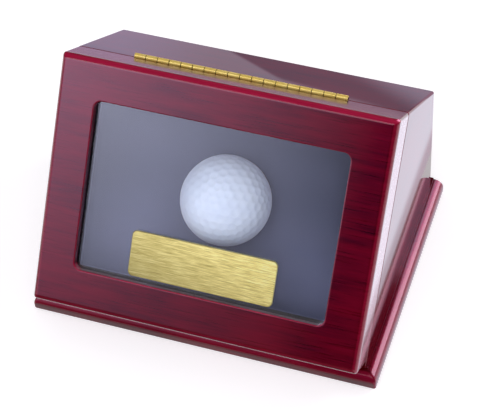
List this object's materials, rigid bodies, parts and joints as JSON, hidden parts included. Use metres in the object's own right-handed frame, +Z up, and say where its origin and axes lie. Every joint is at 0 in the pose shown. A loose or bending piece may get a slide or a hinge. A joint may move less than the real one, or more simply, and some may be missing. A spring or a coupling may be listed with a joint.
{
  "type": "golf ball display case",
  "caption": "Lacquered wooden desktop case with a sloping hinged glazed lid, showing a golf ball seated in a velvet-faced insert above a blank brass plate.",
  "frame": {"origin": "centre of the felt pad's underside, on the surface that the case stands on", "axes": "+X to the right seen from the front, +Y to the back, +Z up; the glazed lid faces -Y and up"},
  "size_m": [0.17, 0.1342, 0.1188],
  "materials": {
    "lacquered_wood": "high-gloss wine-red lacquer over wood-grain film",
    "black_wood": "black-stained wood, satin",
    "board": "raw fibreboard",
    "velvet": "short-pile black velvet",
    "felt": "pressed black felt",
    "brass": "polished brass",
    "plate_brass": "brushed brass, clear lacquered",
    "steel": "zinc-plated steel",
    "glass": "clear float glass",
    "ball_cover": "glossy white ball cover",
    "ball_core": "moulded rubber core",
    "bumper": "clear soft dots",
    "tape": "thin double-sided tape"
  },
  "bodies": {
    "case": {"base_plate": "lacquered_wood", "base_felt": "felt", "base_screws": "steel", "side_panel_left": "lacquered_wood", "side_panel_right": "lacquered_wood", "top_panel": "lacquered_wood", "back_panel": "lacquered_wood", "front_sill": "lacquered_wood", "lining_left": "velvet", "lining_right": "velvet", "lining_top": "velvet", "lining_floor": "velvet", "lid_bumpers": "bumper", "insert_board": "board", "insert_velvet": "velvet", "insert_batten_left": "board", "insert_batten_right": "board", "golf_ball_cover": "ball_cover", "golf_ball_core": "ball_core", "hinge_leaf_case": "brass", "hinge_pin": "steel", "hinge_screws_case": "brass"},
    "lid": {"lid_top_rail": "lacquered_wood", "lid_bottom_rail": "lacquered_wood", "lid_left_stile": "lacquered_wood", "lid_right_stile": "lacquered_wood", "glass_pane": "glass", "glass_bead_top": "black_wood", "glass_bead_bottom": "black_wood", "glass_bead_left": "black_wood", "glass_bead_right": "black_wood", "hinge_leaf_lid": "brass", "hinge_screws_lid": "brass", "plate_tape": "tape", "brass_plate": "plate_brass"}
  },
  "joints": [
    {"name": "lid_hinge", "type": "hinge", "parent": "case", "child": "lid", "pos_m": [0, 0.01359, 0.1088], "axis": [-1, 0, 0], "range_deg": [0, 180]}
  ]
}
